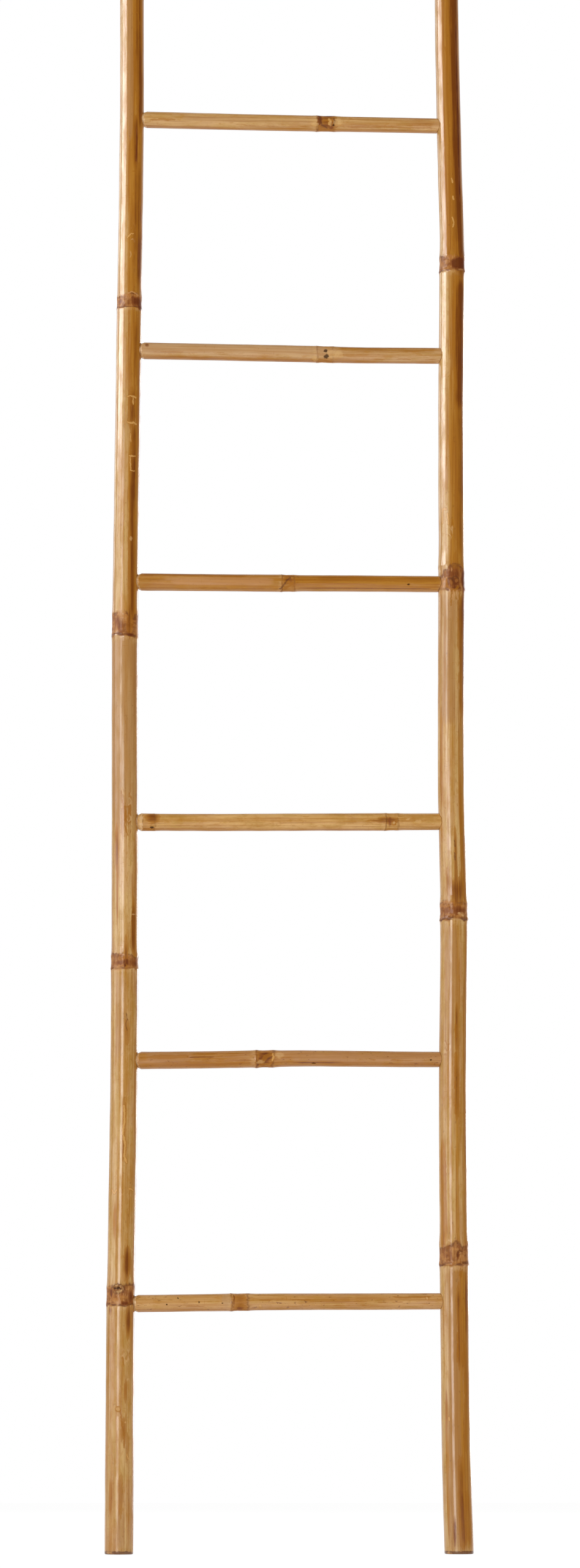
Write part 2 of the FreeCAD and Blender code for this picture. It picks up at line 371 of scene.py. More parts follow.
    # relief, gloss and varnish
    grown = times(bandMask, pattern("small"))
    for mask, rise in ((grown, 1.4), (lines, -0.8), (trailStainAndShadow, -0.7), (paleTrail, 0.9)):
        bump = timesPlus(mask, rise, bump)
    bumps = add("Bump", {"Strength": look["relief"], "Distance": look["reliefDepth"], "Height": bump})
    dull = timesPlus(pattern("blotch"), 0.12, look["gloss"] - 0.12)
    dull = timesPlus(bandMask, 0.15, timesPlus(pattern("streak"), 0.12, dull))
    worn = timesPlus(where("blotch", 0.64, 0.42), 0.50, look["varnish"] - 0.50)
    link(base, shader.inputs["Base Color"])
    link(dull, shader.inputs["Roughness"])
    link(bumps.outputs[0], shader.inputs["Normal"])
    link(times(worn, timesPlus(bare, -1.0, 1.0)), shader.inputs["Coat Weight"])
    shader.inputs["Specular IOR Level"].default_value = look["specular"]
    shader.inputs["Coat Roughness"].default_value = look["varnishBlur"]
    return material


def skinPoint(cane, place, angle):  # a point of the skin in the fibres' own frame
    turn, (place,) = math.radians(angle), metres(place)
    radius = radiusOf(cane, place)
    return Vector((math.sin(turn) * radius, -math.cos(turn) * radius, place))


def strokeAway(point, cane, strokes):  # how far from the nearest stroke: 1 at its rim
    nearest = None
    for halfWidth, *path in strokes:
        points = [skinPoint(cane, place, angle) for place, angle in path]
        for first, last in zip(points, points[1:]):
            span = last - first
            offset = vectors("SUBTRACT", {0: point, 1: first})
            share = vectors("DOT_PRODUCT", {0: offset, 1: span / span.length_squared}, "Value")
            share = sums("MINIMUM", sums("MAXIMUM", share, 0.0), 1.0)
            foot = vectors("SCALE", {0: span, "Scale": share})
            gap = sums("DIVIDE", vectors("DISTANCE", {0: offset, 1: foot}, "Value"), *metres(halfWidth))
            nearest = gap if nearest is None else sums("MINIMUM", nearest, gap)
    return nearest


def spotAway(point, cane, spot):  # how far from the middle of one spot: 1 at its rim
    place, angle, halfWidth, halfLong, _ = spot
    away = vectors("SUBTRACT", {0: point, 1: skinPoint(cane, place, angle)})
    away = vectors("DIVIDE", {0: away, 1: metres(halfWidth, halfWidth, halfLong)})
    return vectors("LENGTH", {0: away}, "Value")


def cutMaterial():  # sawn ends and the inside of the poles
    material, shader = startMaterial("sawnWood")
    place = add("TexCoord").outputs["Object"]
    bundles = add("TexVoronoi", {"Vector": place, "Scale": 900.0}).outputs["Distance"]
    cloud = add("TexNoise", {"Vector": place, "Scale": 120.0, "Detail": 3.0}).outputs[0]
    ground = mixed(between(cloud, 0.4, 0.62), tone(196, 156, 104), tone(166, 122, 76))
    link(mixed(between(bundles, 0.30, 0.16), ground, tone(112, 72, 38)), shader.inputs["Base Color"])
    bumps = add("Bump", {"Strength": 0.3, "Distance": 0.0004, "Height": bundles})
    link(bumps.outputs[0], shader.inputs["Normal"])
    shader.inputs["Roughness"].default_value = 0.72
    return material


def steelMaterial():
    material, shader = startMaterial("nailSteel")
    place = add("TexCoord").outputs["Object"]
    cloud = add("TexNoise", {"Vector": place, "Scale": 700.0, "Detail": 4.0}).outputs[0]
    base = mixed(between(cloud, 0.5, 0.7), tone(168, 166, 160), tone(118, 104, 90))
    link(base, shader.inputs["Base Color"])
    link(timesPlus(cloud, 0.35, 0.22), shader.inputs["Roughness"])
    shader.inputs["Metallic"].default_value = 1.0
    return material


# the canes themselves

# A node from below to above: share of its length, and how far it stands out there. The sheath's
# scar is a sharp lip at 0, and the rounder ridge lies at 1.
nodeShape = {
    "profile": ((-1.1, 0.0), (-0.35, 0.06), (-0.10, 0.28), (-0.03, 0.55), (0.0, 1.10), (0.07, 0.98),
                (0.18, 0.62), (0.40, 0.36), (0.66, 0.40), (0.88, 0.66), (1.0, 0.74), (1.16, 0.50),
                (1.5, 0.14), (2.2, 0.0)),
    "lip": 0.0,
    "lipCrease": 0.60,
    "shoulder": 0.00028,  # the cane is a little thicker below a scar than above it
    "shoulderReach": 0.09,
}

# In the tables of the canes:
# sideways, inDepth: how far the pole wanders off its straight line, by height
# arch: how far a rung bows upwards, by the share of its length
# nodes: place of the scar, length from scar to ridge, how far it stands out
# tops: the upper edge of a node's stain, as angle and share of the node's length
# patches of tan (on the rungs also painted shade along the top and bottom), flames, burns, pale patches
# (partly rubs, partly painted highlight), ashes, trails: low end, high end, angle, half width in degrees,
# strength
# strokes: by tone, half width, then places and angles along the stroke
# spots: place, angle, half width, half length, kind

leftPole = {
    "name": "leftPole",
    "node": "left_rail",
    "upright": True,
    "start": (-0.209, 0, 0),
    "end": (-0.202, 0, 2),
    "startRadius": 0.0176,
    "endRadius": 0.015,
    "sideways": (
        (0, 0), (0.29, -0.0005), (0.56, 0.0014), (0.72, 0.0011), (0.94, -0.0004), (1.14, -0.0019),
        (1.34, -0.0011), (1.56, 0.0001), (1.8, 0.0014), (2, 0)),
    "inDepth": ((0, 0), (0.304, -0.0009), (0.72, 0.0016), (1.14, 0.0005), (1.56, -0.0018), (2, 0)),
    "nodes": (
        (0.304, 0.0225, 0.00085), (0.72, 0.0165, 0.001), (1.14, 0.028, 0.00075), (1.56, 0.0155, 0.0007),
        (1.97, 0.014, 0.0006)),
    "tops": {
        0: ((-60, 0.95), (0, 1), (60, 1.05)), 1: ((-60, 1), (20, 0.9), (60, 0.8)),
        2: ((-60, 0.95), (5, 0.85), (20, 0.5), (60, 0.9)), 3: ((-60, 0.85), (10, 1.1), (60, 1))},
    "tanAndEdgeShade": (
        (1565, 2050, 56, 76, 1.3), (1140, 1580, 58, 62, 1.1), (720, 1140, 72, 44, 0.7),
        (0, 720, 74, 40, 0.5), (845, 900, -40, 8, 1.5), (780, 860, -36, 5, 1.3), (385, 430, -34, 8, 1.3),
        (50, 90, -40, 9, 1.2), (100, 900, 180, 50, 0.6), (1100, 1900, 200, 60, 0.8),
        (500, 1300, 260, 30, 0.6)),
    "flames": (
        (1840, 2030, 34, 24, 1.3), (1790, 1880, 42, 26, 1.1), (1735, 1815, 20, 13, 1.4),
        (1620, 1750, 36, 25, 1), (1585, 1665, 50, 20, 1.3), (1600, 1640, 20, 14, 0.6),
        (1455, 1552, 36, 17, 0.9), (1400, 1458, 22, 24, 1.2), (1300, 1415, 30, 17, 1.3),
        (1155, 1350, 28, 20, 1.05), (1136, 1185, 18, 12, 1.1), (870, 950, 0, 26, 0.2),
        (735, 805, 42, 16, 1.2), (840, 900, -38, 7, 1), (680, 712, 66, 12, 0.9), (620, 660, 12, 10, 0.8),
        (475, 560, 2, 12, 0.7), (332, 378, 26, 20, 1.3), (262, 303, 34, 11, 1.5),
        (290, 303, -48, 14, 0.9), (183, 215, 22, 8, 1.1), (130, 172, 16, 15, 1), (45, 100, 6, 11, 0.9),
        (100, 160, 30, 12, 0.3), (715, 760, 4, 8, 0.9), (200, 700, 150, 20, 0.9),
        (900, 1120, 190, 26, 0.9), (1300, 1550, 130, 22, 1), (1600, 1900, 200, 24, 0.9),
        (50, 250, 230, 20, 0.8), (750, 950, 240, 16, 0.8)),
    "burns": (
        (1559, 1574.5, 44, 42, 0.9), (1566.5, 1575, 16, 16, 0.5), (1556, 1565, 62, 26, 1),
        (1562, 1574, -50, 20, 0.4), (1600, 1660, 44, 9, 0.4), (1735, 1800, 24, 6, 0.7),
        (721.5, 732, -10, 95, 0.35), (720, 731, 38, 30, 0.45), (312, 325, -44, 12, 0.6),
        (304, 324, 46, 18, 0.7), (302, 309, 16, 20, 0.8), (1137.5, 1142, 22, 18, 1),
        (1141, 1166, -30, 34, 0.5), (1660, 1700, 52, 8, 0.4), (300, 325, 170, 60, 0.6),
        (1140, 1165, 190, 50, 0.6)),
    "rubsAndHighlights": (
        (1562, 1575, -26, 16, 0.4), (1150, 1195, -18, 22, 0.7), (716, 722, -30, 30, 0.8),
        (300, 312, -14, 10, 0.7), (328, 350, 4, 16, 0.5)),
    "ashes": (
        (900, 1145, -4, 60, 1.3), (1780, 2020, -10, 13, 1.3), (0, 60, 6, 20, 0.7),
        (1500, 1560, 150, 40, 0.8), (150, 300, 140, 30, 0.8), (600, 720, -20, 30, 0.4)),
    "trails": (
        (875, 965, 6, 26, 1), (1360, 1450, 26, 20, 0.8), (200, 260, 24, 26, 0.8),
        (1600, 1680, 10, 26, 0.3), (330, 370, 26, 18, 0.9), (740, 800, 34, 16, 0.9),
        (1000, 1200, 180, 60, 0.8)),
    "strokes": {
        "dark": (
            (0.6, (663, 6), (656, 12), (650, 4), (642, 10)),
            (0.7, (1139.5, 12), (1138.5, 28), (1140, 50)), (0.6, (303, 4), (301, 18), (304, 34))),
        "rust": (
            (1.1, (1748, 22), (1737, 20), (1736, 8)), (0.9, (1946, 14), (1945, 30), (1930, 36)),
            (1, (930, -12), (915, 2), (900, -2), (886, 10)),
            (1, (174, 0), (162, 6), (148, 16), (130, 18))),
        # the pale line just above the node at 1.56 m, along its ridge, is a painted highlight
        "foldsAndRidgeHighlight": ((1.1, (1577.5, -8), (1579, 8), (1578.2, 26), (1575.5, 42)),),
        "pale": (
            (0.7, (1444, -2), (1444.5, 12), (1444.2, 26), (1443, 38)), (0.7, (1444, 22), (1434, 24)),
            (0.8, (1411, 0), (1409.5, 14), (1410.5, 28), (1409, 42)), (0.5, (1396, 12), (1386, 16)),
            (0.7, (1368, 8), (1367.5, 24), (1367.5, 40)), (0.6, (1367.5, 12), (1349, 16), (1348.5, 34)),
            (0.6, (1649.5, -16), (1654.5, 2), (1655, 12)),
            (0.8, (548, 0), (530, 4), (515, -4), (500, 8), (486, 4), (478, 14)),
            (0.7, (445, -50), (440, -38), (444, -26)), (0.6, (446, 28), (444, 50)),
            (0.6, (122, 30), (116, 36)))},
    "spots": (
        (323.2, -13, 6.6, 5, "eye"), (323.8, -25, 1.6, 1.5, "pit"), (324, -12, 2.6, 2.2, "pit"),
        (322.6, -2, 1.2, 1.2, "pit"), (723.2, -1, 1.8, 1.8, "scorch"), (176, -8, 3.4, 3, "bud"),
        (160, 22, 1.6, 1.2, "leaf"), (1262, 22, 2.6, 3, "leaf"), (787, 40, 3, 1.4, "leaf")),
    "around": 28,
    "step": 0.02,
    "seed": 3.1,
}

rightPole = {
    "name": "rightPole",
    "node": "right_rail",
    "upright": True,
    "start": (0.209, 0, 0),
    "end": (0.202, 0, 2),
    "startRadius": 0.018,
    "endRadius": 0.0151,
    "sideways": (
        (0, 0), (0.11, -0.0023), (0.26, -0.003), (0.48, -0.0036), (0.6, -0.003), (0.78, -0.0002),
        (0.94, -0.0022), (1.06, -0.0017), (1.2, 0.0001), (1.44, 0.0015), (1.6, 0.0041), (1.66, 0.0046),
        (1.74, 0.003), (1.9, 0.0006), (2, 0)),
    "inDepth": ((0, 0), (0.352, 0.0014), (0.78, -0.0012), (1.2, -0.0021), (1.62, 0.0009), (2, 0)),
    "nodes": (
        (0.3545, 0.026, 0.0013), (0.783, 0.0205, 0.00135), (1.202, 0.03, 0.0012),
        (1.614, 0.0195, 0.0012)),
    "tops": {
        0: ((-74, 0.68), (-14, 0.88), (0, 1), (7, 1.06), (18, 0.95), (30, 0.72), (59, 0.9)),
        1: ((-60, 0.95), (0, 1.05), (60, 0.95)),
        2: ((-67, 0.4), (-34, 0.75), (-9, 0.95), (20, 0.95), (50, 0.85), (70, 0.75)),
        3: ((-60, 0.9), (0, 0.88), (20, 0.95), (60, 0.7))},
    "tanAndEdgeShade": (
        (1614, 2050, 48, 84, 1.7), (1200, 1620, 52, 66, 1.3), (790, 1200, 72, 44, 0.9),
        (360, 790, 12, 14, 0.4), (360, 790, 70, 36, 0.9), (0, 360, 24, 64, 0.7), (375, 500, -52, 14, 2),
        (930, 1050, -52, 7, 1.3), (20, 200, -44, 7, 1.3), (100, 900, 190, 50, 0.6),
        (1000, 1900, 180, 60, 0.9), (400, 1200, 110, 24, 0.6)),
    "flames": (
        (1640, 2030, 36, 30, 1.55), (1600, 1720, 42, 32, 1.35), (1620, 1760, 10, 9, 0.7),
        (1800, 2000, 4, 9, 0.8), (1430, 1605, 36, 28, 1.6), (1240, 1450, 34, 20, 0.9),
        (1300, 1450, 56, 22, 0.9), (1470, 1560, 14, 9, 0.7), (1210, 1260, 20, 36, 0.5),
        (1040, 1200, 54, 25, 1.2), (798, 840, 12, 36, 1.2), (810, 900, 8, 8, 1.1),
        (810, 850, -30, 10, 0.9), (620, 680, 9, 8, 1.1), (530, 610, 12, 9, 1), (220, 330, 12, 11, 1),
        (260, 340, 52, 14, 1), (0, 120, 16, 16, 1), (0, 85, 42, 12, 0.6), (120, 260, 38, 14, 0.7),
        (100, 300, 150, 20, 0.9), (450, 750, 200, 22, 0.9), (850, 1150, 170, 26, 1),
        (1300, 1550, 220, 26, 1), (1650, 1950, 140, 26, 1), (500, 900, 250, 16, 0.8)),
    "burns": (
        (1615.5, 1629.5, 34, 38, 1.7), (1614, 1630, 2, 9, 0.6), (1700, 1950, 44, 10, 0.7),
        (1210, 1232, 12, 50, 0.6), (1201, 1219, 8, 34, 0.75), (1200, 1206, 16, 34, 0.7),
        (1197, 1230, 64, 22, 1.1), (357, 374, -36, 46, 0.25), (359, 372, 12, 10, 0.5),
        (0, 90, 13, 7, 0.3), (786, 801, 10, 90, 0.5), (0, 50, -20, 10, 0.5), (1203, 1235, 190, 60, 0.8),
        (355, 380, 170, 60, 0.6), (1085, 1190, 66, 8, 0.8)),
    "rubsAndHighlights": (
        (1612.5, 1616.5, 40, 30, 0.4), (1618, 1632, -30, 16, 0.3), (1197, 1217, -50, 22, 0.9),
        (1188, 1199, 4, 26, 0.4), (1192, 1210, 44, 8, 0.6), (353, 357, -26, 26, 0.4),
        (358, 378, -9, 5, 0.7), (784, 792, 30, 18, 0.7), (1222, 1230, -4, 5, 0.7)),
    "ashes": (
        (1030, 1205, -14, 44, 1), (100, 352, -10, 26, 1.3), (0, 120, -14, 30, 1.1),
        (1550, 1610, 160, 40, 0.8), (650, 780, 170, 40, 0.7), (600, 780, -14, 34, 0.5)),
    "trails": ((1260, 1310, -14, 22, 0.8), (600, 640, -30, 24, 0.7), (450, 500, -40, 20, 0.8)),
    "strokes": {
        "dark": (
            (0.7, (882, 4), (874, 6)), (0.8, (866, 4), (857, 6)),
            (0.9, (1214, -22), (1215.2, -13), (1213, -3), (1216.8, 7), (1216.8, 17), (1213.5, 30)),
            (0.6, (1214.5, 3), (1207.5, 5)), (0.7, (1215, -22), (1206, -20)),
            (0.8, (369, 30), (370.5, 18), (368, 10), (364, 8))),
        "rust": (
            (1, (1290, 0), (1284, 4)), (1.1, (1906, -14), (1890, -6), (1870, -12)),
            (1.6, (650, 6), (636, 8)), (1.8, (615, 8), (588, 6)), (1.4, (580, 6), (572, 6)),
            (1.6, (550, 8), (540, 6)), (1, (349, 22), (340, 16), (338.5, 24), (348, 28)),
            (1.2, (270, 6), (240, 8)),
            (1.6, (1212, -28), (1205, -24), (1200.5, -8), (1200, 12), (1204, 26)),
            (0.9, (1198.5, -4), (1180, -7)), (0.8, (1198.5, 12), (1188, 15)),
            (0.9, (1198, 32), (1185, 38))),
        "foldsAndRidgeHighlight": (
            (1, (1199.5, -12), (1188, -17)), (1, (1199, 4), (1187, 3)), (1, (1199, 20), (1189, 25)),
            (0.6, (367.8, 24), (366.5, 16))),
        "pale": (
            (0.7, (1304, -46), (1304, -30)), (0.7, (1304, -46), (1286, -48)),
            (0.7, (1298, -22), (1284, -18)), (0.7, (1733, 2), (1728, 6)), (0.8, (1710, 4), (1706, 8)),
            (0.7, (1682, 0), (1676, 6), (1670, 0)), (0.8, (166, -34), (163, -32)))},
    "spots": (
        (1209.5, -7, 2.2, 4.4, "knob"), (1211.6, 17, 2.8, 3.2, "knob"), (789, 18, 2, 1.4, "leaf"),
        (787, 34, 2.2, 1.6, "leaf")),
    "around": 28,
    "step": 0.02,
    "seed": 7.7,
}

poleBuild = {
    "wall": 0.0045,
    "sawnEdge": 0.0016,
    "mouth": 0.010,  # how far in from an end the hollow and the skin run plainly
    "neck": 0.005,
    "partitionShare": 0.55,  # of the way from a node's scar to its ridge
    "partitionCorner": 0.004,
    "partitionDip": 0.0025,
    "rimStain": 0.0044,
    "openSkin": 0.006,
    "skinShare": 0.88,  # of the radius: what lies deeper is the inside
    "cutDepth": 0.0013,
}

# the rungs from the bottom up: heights of their two ends, radii of their two ends
# On each rung, the tan patches that run its whole length along the top and bottom are painted shade.
rungList = (
    {"heights": (0.30498, 0.30903), "radii": (0.01064, 0.01011), "seed": 11.3,
     "arch": ((0, 0), (0.3, 0.00076), (0.5, 0.00095), (0.8, 0.00027), (1, 0)),
     "nodes": ((-0.0715, 0.0197, 0.00081),),
     "flames": (
        (-71.5, -51.8, 0, 80, 0.8), (-70.5, -52.5, -40, 36, 0.9), (105, 150, -8, 9, 0.2),
        (20, 100, -30, 10, 0.1), (120, 180, 30, 12, 0.1), (-170, -100, -24, 10, 0),
        (-40, 30, 12, 9, 0.2)),
     "burns": ((-69, -54, -50, 26, 0.25), (-70.5, -68, 10, 80, 0.4)),
     "tanAndEdgeShade": ((-190, 190, -70, 26, 0.6), (-190, 190, 80, 20, 0.6)),
     "ashes": ((-84, -72.5, 10, 50, 1.2),),
     "spots": (
        (-152, -10, 1, 1.4, "pit"), (-138, 34, 1.2, 1.2, "pit"), (-112, 2, 1.2, 1.2, "pit"),
        (-83, -4, 0.8, 1.2, "pit"), (170, 22, 2.4, 2.4, "bud"), (-36, -32, 2.2, 2, "leaf")),
     "look": {
        "flecks": 0.6, "streaks": 0.5, "warm": (187, 131, 66), "pale": (209, 160, 96), "bandShare": 0.35,
        "band": (180, 116, 44), "lineShare": 0.5}},
    {"heights": (0.60552, 0.60862), "radii": (0.01097, 0.00968), "seed": 13.9,
     "arch": ((0, 0), (0.25, 0.00068), (0.42, 0.00162), (0.58, 0.00194), (0.85, 0.00041), (1, 0)),
     "nodes": ((-0.0415, 0.0206, 0.00108),),
     "flames": (
        (-44, -18, 14, 60, 0.8), (0, 70, -34, 10, 0.8), (-120, -50, 40, 12, 0.3),
        (-160, -40, -14, 14, 0.2), (-190, -120, 20, 18, 0.1), (80, 180, -10, 14, 0)),
     "burns": (
        (-41, -21, 4, 50, 0.62), (-35, -22, 22, 26, 0.75), (8, 60, -36, 5, 0.8), (-130, -90, 14, 5, 0.6)),
     "tanAndEdgeShade": ((-190, 190, -60, 40, 0.9), (-190, 190, 80, 30, 0.8)),
     "ashes": ((0, 190, 10, 40, 0.7), (-180, -120, 20, 40, 0.6)),
     "strokes": {
        "dark": (
            (1.2, (-40, -44), (-34.5, -12), (-28.5, 20), (-22.5, 36)),
            (0.9, (-32, -30), (-26, 0), (-22.5, 8))),
        "rust": ((3, (-36.5, -34), (-30, 6), (-24, 26)),),
        "pale": ((0.8, (-21.2, 30), (-20.5, 4), (-21.5, -16)),)},
     "spots": (
        (-13, 22, 4, 6, "leaf"), (176, -4, 1.4, 1.4, "pit"), (30, -40, 1, 3, "pit"),
        (-36, -24, 2.4, 5, "leaf")),
     "look": {
        "flecks": 0.55, "streaks": 0.6, "warm": (170, 112, 56), "pale": (192, 138, 82),
        "ash": (186, 136, 88), "bandShare": 0.45, "lineShare": 0.5}},
    {"heights": (0.9043, 0.90741), "radii": (0.01107, 0.01075), "seed": 17.2,
     "arch": ((0, 0), (0.25, -0.00054), (0.6, -0.00032), (1, 0)),
     "nodes": ((-0.184, 0.015, 0.0004), (0.121, 0.015, 0.00054)),
     "flames": (
        (-181, -163, 26, 44, 1.25), (106, 138, 4, 26, 0.8), (96, 122, 2, 10, 0.8),
        (-170, -80, -30, 4, 0.4), (124, 136, -20, 40, 0.4)),
     "burns": ((121.5, 129, -10, 60, 0.25),),
     "tanAndEdgeShade": ((-190, 190, -70, 24, 0.5), (-190, 190, 80, 20, 0.5)),
     "spots": (
        (-172, -44, 2.2, 2.6, "pit"), (131, -14, 2.6, 2.6, "bud"), (160, -6, 2.4, 5, "leaf"),
        (148, 10, 1.6, 3, "leaf")),
     "look": {
        "flecks": 0.12, "streaks": 0.3, "warm": (200, 149, 77), "pale": (222, 175, 108),
        "bandShare": 0.15, "lineShare": 0.35}},
    {"heights": (1.20916, 1.2097), "radii": (0.01097, 0.01027), "seed": 19.4,
     "arch": ((0, 0), (0.45, -0.00027), (0.7, 0.00014), (1, 0)),
     "nodes": ((-0.0096, 0.0155, 0.0005),),
     "flames": (
        (-10, 4, 20, 60, 0.9), (30, 190, 26, 26, 0.7), (-190, -50, 50, 20, 0.7), (10, 180, -44, 4, 1),
        (-130, -30, -50, 14, 0.2)),
     "burns": ((-4, 6, 10, 40, 0.2), (10, 180, -46, 2.5, 1)),
     "tanAndEdgeShade": ((0, 190, 10, 70, 1.2), (-190, 0, -60, 40, 1), (-190, 0, 70, 30, 0.8)),
     "ashes": ((-150, -20, 4, 30, 1),),
     "strokes": {
        "dark": ((1.1, (1, 34), (-4, 8), (-7, -20), (-12.5, -48)), (0.6, (-1, 44), (12, 38))),
        "rust": ((1.8, (3, -10), (-4, -40)),)},
     "spots": ((150, -12, 1, 2.2, "pit"),),
     "look": {
        "flecks": 0.15, "streaks": 0.5, "warm": (178, 118, 46), "pale": (196, 140, 70),
        "ash": (196, 140, 86), "bandShare": 0.25, "lineShare": 0.4}},
    {"heights": (1.50646, 1.50511), "radii": (0.01064, 0.01027), "seed": 23.8,
     "arch": ((0, 0), (0.35, -0.00032), (0.58, -0.00081), (0.72, -0.00113), (0.9, -0.00041), (1, 0)),
     "nodes": ((0.0355, 0.019, 0.00063),),
     "flames": ((60, 190, 56, 20, 0.5), (100, 190, -40, 10, 0.1), (-180, -80, -16, 6, 0.1)),
     "burns": ((-186, -176, 30, 30, 0.4),),
     "tanAndEdgeShade": ((60, 190, 34, 46, 0.2), (-190, 190, -74, 26, 0.8), (-190, 190, 80, 22, 0.7)),
     "ashes": ((-190, 50, 14, 44, 0.9),),
     "spots": (
        (54, -8, 6.6, 9, "leaf"), (32, -46, 3.4, 4, "leaf"), (62, -6, 5, 6, "leaf"),
        (45.5, 16, 2.6, 3, "pit"), (46, -26, 3.4, 3.6, "pit")),
     "look": {
        "flecks": 0.1, "streaks": 0.45, "warm": (189, 143, 88), "pale": (208, 166, 113),
        "ash": (198, 156, 110), "bandShare": 0.12, "lineShare": 0.3}},
    {"heights": (1.80808, 1.80592), "radii": (0.01054, 0.00962), "seed": 29.1,
     "arch": ((0, 0), (0.4, -0.00041), (0.6, -0.00027), (1, 0)),
     "nodes": ((0.0357, 0.0212, 0.00068),),
     "flames": (
        (36, 60, 0, 80, 1.1), (-185, -140, -10, 14, 0.1), (-80, 30, -40, 10, 0), (70, 190, -34, 12, 0.2),
        (70, 190, 50, 14, 0.1)),
     "burns": ((34, 42, 20, 60, 0.7), (40, 60, 56, 18, 0.6), (48, 58, -44, 22, 0.4)),
     "strokes": {
        "dark": (
            (1, (38.5, 52), (37.5, 16), (41, -20), (48, -48)), (0.9, (56, 30), (57.5, 2), (55.5, -30))),
        "pale": ((0.9, (50, 22), (51.5, 2), (50, -18)),)},
     "tanAndEdgeShade": ((60, 190, 0, 50, 0.1), (-190, 190, -74, 26, 0.8), (-190, 190, 80, 22, 0.7)),
     "ashes": ((-140, 30, 0, 30, 0.6),),
     "spots": (
        (52.5, -12, 4.6, 1.4, "leaf"), (61, 0, 4.6, 6, "leaf"), (32, -20, 2, 5, "leaf"),
        (56, -26, 1.6, 1.6, "pit")),
     "look": {
        "flecks": 0.12, "streaks": 0.45, "warm": (187, 139, 78), "pale": (212, 167, 106),
        "bandShare": 0.35, "lineShare": 0.5}},
)

rungs = {
    "tenonRadius": 0.0085,
    "tenonDepth": 0.0125,
    "tenonNeck": 0.0040,
    "shoulder": 0.0024,
    "whittle": 0.0045,
    "whittleRadius": 0.0090,
    "whittleReach": 0.015,
    "seatGap": 0.0002,
    "seatEase": 0.0006,
    "seatRings": (0.0020, 0.0030, 0.0052),
    "hug": 0.012,  # how far from a pole the rings still follow its side
    "plain": 0.020,
    "openLeft": 0.009,
    "openRight": 0.007,
    "cutDepth": 0.0008,
    "around": 24,
    "step": 0.014,
    "ash": (192, 148, 98),
}

weather = {
    "smoothing": 2,
    "smoothAngle": math.radians(40),
    "lumps": 0.00050,
    "lumpSize": 0.060,
    "ripples": 0.00012,
    "rippleSize": 0.018,
    "wander": 0.0036,
    "wanderSize": 0.024,
    "grit": 0.0005,
    "gritSize": 0.0050,
    "rungShare": 0.62,
    "spots": {"eye": 0.0007, "knob": 0.0012, "scorch": 0.0009, "bud": 0.0008, "pit": -0.0006, "leaf": 0.0003},
    "eyeHole": -0.0011,
    "patchEnd": 0.022,  # over what length a painted patch fades out, on a pole and on a rung
    "rungPatchEnd": 0.010,
}


def alongOf(cane, point):
    return point[2] if cane["upright"] else point[0]


def shareOf(cane, place):
    first, last = alongOf(cane, cane["start"]), alongOf(cane, cane["end"])
    return min(max((place - first) / (last - first), 0), 1)


def centreOf(cane, place):  # the middle of the cane at one place along it
    share = shareOf(cane, place)
    middle = Vector(cane["start"]).lerp(Vector(cane["end"]), share)
    if cane["upright"]:
        middle.x += readCurve(cane["sideways"], place)
        middle.y += readCurve(cane["inDepth"], place)
        middle.z = place
    else:
        middle.z += readCurve(cane["arch"], share)
        middle.x = place
    return middle


def radiusOf(cane, place):
    radius = cane["startRadius"] + (cane["endRadius"] - cane["startRadius"]) * shareOf(cane, place)
    profile = nodeShape["profile"]
    for scar, long, proud in cane["nodes"]:
        away = (place - scar) / long
        if profile[0][0] < away < profile[-1][0]:
            radius += proud * float(np.interp(away, *zip(*profile)))
        fade = math.exp(-abs(place - scar) / nodeShape["shoulderReach"])
        radius += nodeShape["shoulder"] * fade * (1 if place < scar else -1)
    return radius


def stationsOf(cane, low, high):  # where the cane gets a ring: evenly, and closer at its nodes
    count = max(round((high - low) / cane["step"]), 1)
    places = {low + (high - low) * n / count: 0.0 for n in range(count + 1)}
    for scar, long, _ in cane["nodes"]:
        rises = [(scar + long * share, share) for share, _ in nodeShape["profile"]]
        bottom, top = rises[0][0], rises[-1][0]
        places = {p: crease for p, crease in places.items() if not bottom < p < top or p in (low, high)}
        places.update({p: nodeShape["lipCrease"] if share == nodeShape["lip"] else 0.0
                       for p, share in rises if low < p < high})
    return [(place, radiusOf(cane, place), crease) for place, crease in sorted(places.items())]


def selectNothing():
    for piece in bpy.context.selected_objects:
        piece.select_set(False)


def makeActive(piece):
    selectNothing()
    piece.select_set(True)
    bpy.context.view_layer.objects.active = piece


def applyModifier(piece, modifier):
    makeActive(piece)
    bpy.ops.object.modifier_apply(modifier=modifier.name)


def growCane(cane, rings):
    # rings are (place, radius, crease): each is drawn out of the last, then both ends are filled
    roundness = 3 / (2 + math.cos(2 * math.pi / cane["around"]))  # what smoothing takes off a ring
    points = [centreOf(cane, place) for place, _, _ in rings]
    turn = (0, 0, 0) if cane["upright"] else (0, math.pi / 2, 0)
    mesh = bpy.ops.mesh
    selectNothing()
    mesh.primitive_circle_add(vertices=cane["around"], radius=rings[0][1] * roundness,
                              location=points[0], rotation=turn)
    piece = bpy.context.object
    piece.name = piece.data.name = cane["name"]
    bpy.ops.object.transform_apply(location=True, rotation=True, scale=True)
    bpy.ops.object.mode_set(mode="EDIT")
    mesh.select_mode(type="EDGE")
    mesh.select_all(action="SELECT")
    for i in range(1, len(rings)):
        mesh.extrude_region_move(TRANSFORM_OT_translate={"value": points[i] - points[i - 1]})
        widen = rings[i][1] / rings[i - 1][1]
        bpy.ops.transform.resize(value=(widen, widen, widen), center_override=points[i])
        if rings[i][2]:
            bpy.ops.transform.edge_crease(value=rings[i][2])
    mesh.edge_face_add()
    mesh.select_all(action="DESELECT")
    mesh.select_non_manifold()
    mesh.edge_face_add()
    mesh.select_all(action="SELECT")
    mesh.normals_make_consistent(inside=False)
    bpy.ops.object.mode_set(mode="OBJECT")
    return piece


def smoothCane(piece):
    smooth = piece.modifiers.new("smooth", "SUBSURF")
    smooth.levels = smooth.render_levels = weather["smoothing"]
    applyModifier(piece, smooth)


